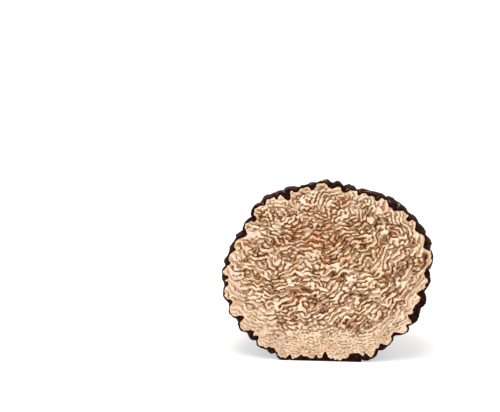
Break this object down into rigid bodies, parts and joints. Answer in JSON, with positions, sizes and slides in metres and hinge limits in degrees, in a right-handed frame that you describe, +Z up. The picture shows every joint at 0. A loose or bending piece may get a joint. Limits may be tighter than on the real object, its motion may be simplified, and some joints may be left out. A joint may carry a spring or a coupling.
{
  "type": "halved black truffle",
  "caption": "Half of a black truffle, cut flat through the middle, with a warty dark rind and pale veined flesh, standing on its flattened underside.",
  "frame": {"origin": "middle of the flat spot on the underside that the half rests on, on the surface it stands on", "axes": "+Z up; -Y is the outward normal of the cut face, so the dome of the rind bulges along +Y; +X is to the right when the cut face is looked at from the front"},
  "size_m": [0.0545, 0.0245, 0.0489],
  "materials": {
    "truffle": "matt to satin brown-black warty rind, with cream and brown labyrinth veins on the cut face"
  },
  "bodies": {
    "root": {"truffle_half": "truffle"}
  },
  "joints": []
}
